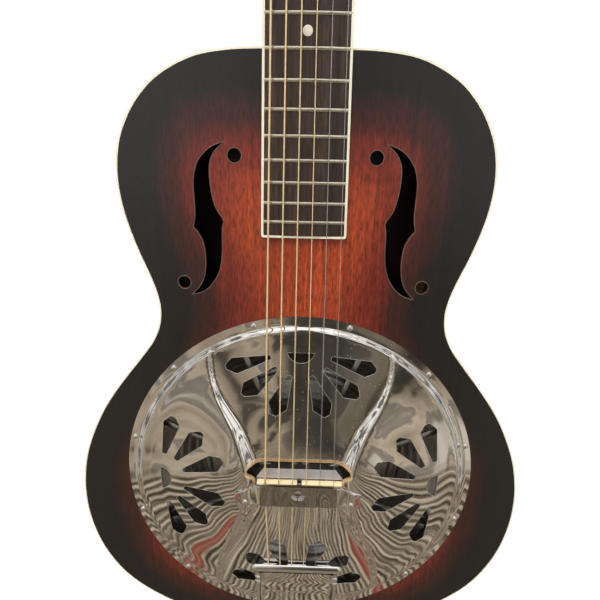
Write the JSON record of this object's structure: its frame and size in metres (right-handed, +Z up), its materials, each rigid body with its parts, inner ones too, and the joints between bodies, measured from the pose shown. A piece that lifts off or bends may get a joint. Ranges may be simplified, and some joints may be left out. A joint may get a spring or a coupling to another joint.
{
  "type": "resonator guitar",
  "caption": "Wood-bodied resonator guitar with a pierced chrome coverplate, f-holes, a trapeze tailpiece and geared tuners.",
  "frame": {"origin": "middle of the neck at the nut, where the yoke of a wall hanger carries the headstock", "axes": "+Z up the neck, -Y out of the front, +X to the right as seen from the front"},
  "size_m": [0.3698, 0.1055, 1.0049],
  "materials": {
    "sunburst_top": "satin lacquer over a sunburst",
    "stained_wood": "satin lacquer, dark stain",
    "neck_wood": "satin lacquer",
    "raw_wood": "unfinished",
    "cream_binding": "satin",
    "spun_aluminium": "spun, fine turning lines",
    "cast_aluminium": "cast, lightly polished",
    "saddle_maple": "smooth, unfinished",
    "bone": "polished",
    "plain_steel": "satin",
    "chrome_plate": "mirror polish",
    "nickel_plate": "polished",
    "rosewood": "oiled, open grain",
    "black_plastic": "gloss",
    "gear_brass": "plain",
    "tuner_button": "polished",
    "plain_string": "bright drawn wire",
    "wound_string": "round wound"
  },
  "bodies": {
    "guitar": {"soundboard": "sunburst_top", "back": "stained_wood", "side_bass": "stained_wood", "side_treble": "stained_wood", "top_binding": "cream_binding", "back_binding": "cream_binding", "top_lining": "raw_wood", "back_lining": "raw_wood", "neck_block": "raw_wood", "tail_block": "raw_wood", "soundwell": "raw_wood", "cone": "spun_aluminium", "spider": "cast_aluminium", "saddle_bass": "saddle_maple", "saddle_treble": "saddle_maple", "tension_screw": "plain_steel", "coverplate": "chrome_plate", "palm_rest": "chrome_plate", "neck": "neck_wood", "fingerboard": "rosewood", "fingerboard_binding": "cream_binding", "nut": "bone", "truss_rod": "plain_steel", "truss_rod_cover": "black_plastic", "end_button": "black_plastic", "hinge_bracket": "chrome_plate", "tuner_plate_treble": "nickel_plate", "tuner_plate_bass": "nickel_plate", "string_1": "plain_string", "string_2": "plain_string", "string_3": "wound_string", "string_4": "wound_string", "string_5": "wound_string", "string_6": "wound_string"},
    "tailpiece": {"tailpiece_frame": "chrome_plate", "tailpiece_bar": "chrome_plate", "string_tail_1": "plain_string", "string_tail_2": "plain_string", "string_tail_3": "wound_string", "string_tail_4": "wound_string", "string_tail_5": "wound_string", "string_tail_6": "wound_string"},
    "key_1": {"key_shaft_1": "plain_steel", "tuner_button_1": "tuner_button"},
    "post_1": {"string_post_1": "gear_brass"},
    "key_2": {"key_shaft_2": "plain_steel", "tuner_button_2": "tuner_button"},
    "post_2": {"string_post_2": "gear_brass"},
    "key_3": {"key_shaft_3": "plain_steel", "tuner_button_3": "tuner_button"},
    "post_3": {"string_post_3": "gear_brass"},
    "key_4": {"key_shaft_4": "plain_steel", "tuner_button_4": "tuner_button"},
    "post_4": {"string_post_4": "gear_brass"},
    "key_5": {"key_shaft_5": "plain_steel", "tuner_button_5": "tuner_button"},
    "post_5": {"string_post_5": "gear_brass"},
    "key_6": {"key_shaft_6": "plain_steel", "tuner_button_6": "tuner_button"},
    "post_6": {"string_post_6": "gear_brass"}
  },
  "joints": [
    {"name": "tailpiece_hinge", "type": "hinge", "parent": "guitar", "child": "tailpiece", "pos_m": [0, -0.0025, -0.813], "axis": [1, 0, 0], "range_deg": [0, 1.5]},
    {"name": "key_1_turn", "type": "hinge", "parent": "guitar", "child": "key_1", "pos_m": [0, 0.02608, 0.03439], "axis": [1, 0, 0], "continuous": true},
    {"name": "post_1_turn", "type": "hinge", "parent": "guitar", "child": "post_1", "pos_m": [0.024, 0.00945, 0.04592], "axis": [0, -0.9744, 0.225], "continuous": true},
    {"name": "key_2_turn", "type": "hinge", "parent": "guitar", "child": "key_2", "pos_m": [0, 0.03508, 0.07336], "axis": [1, 0, 0], "continuous": true},
    {"name": "post_2_turn", "type": "hinge", "parent": "guitar", "child": "post_2", "pos_m": [0.024, 0.01845, 0.0849], "axis": [0, -0.9744, 0.225], "continuous": true},
    {"name": "key_3_turn", "type": "hinge", "parent": "guitar", "child": "key_3", "pos_m": [0, 0.04408, 0.11234], "axis": [1, 0, 0], "continuous": true},
    {"name": "post_3_turn", "type": "hinge", "parent": "guitar", "child": "post_3", "pos_m": [0.024, 0.02744, 0.12387], "axis": [0, -0.9744, 0.225], "continuous": true},
    {"name": "key_4_turn", "type": "hinge", "parent": "guitar", "child": "key_4", "pos_m": [0, 0.04408, 0.11234], "axis": [-1, 0, 0], "continuous": true},
    {"name": "post_4_turn", "type": "hinge", "parent": "guitar", "child": "post_4", "pos_m": [-0.024, 0.02744, 0.12387], "axis": [0, -0.9744, 0.225], "continuous": true},
    {"name": "key_5_turn", "type": "hinge", "parent": "guitar", "child": "key_5", "pos_m": [0, 0.03508, 0.07336], "axis": [-1, 0, 0], "continuous": true},
    {"name": "post_5_turn", "type": "hinge", "parent": "guitar", "child": "post_5", "pos_m": [-0.024, 0.01845, 0.0849], "axis": [0, -0.9744, 0.225], "continuous": true},
    {"name": "key_6_turn", "type": "hinge", "parent": "guitar", "child": "key_6", "pos_m": [0, 0.02608, 0.03439], "axis": [-1, 0, 0], "continuous": true},
    {"name": "post_6_turn", "type": "hinge", "parent": "guitar", "child": "post_6", "pos_m": [-0.024, 0.00945, 0.04592], "axis": [0, -0.9744, 0.225], "continuous": true}
  ],
  "couplings": [
    {"joint": "post_1_turn", "follows": "key_1_turn", "ratio": 0.071429},
    {"joint": "post_2_turn", "follows": "key_2_turn", "ratio": 0.071429},
    {"joint": "post_3_turn", "follows": "key_3_turn", "ratio": 0.071429},
    {"joint": "post_4_turn", "follows": "key_4_turn", "ratio": -0.071429},
    {"joint": "post_5_turn", "follows": "key_5_turn", "ratio": -0.071429},
    {"joint": "post_6_turn", "follows": "key_6_turn", "ratio": -0.071429}
  ]
}
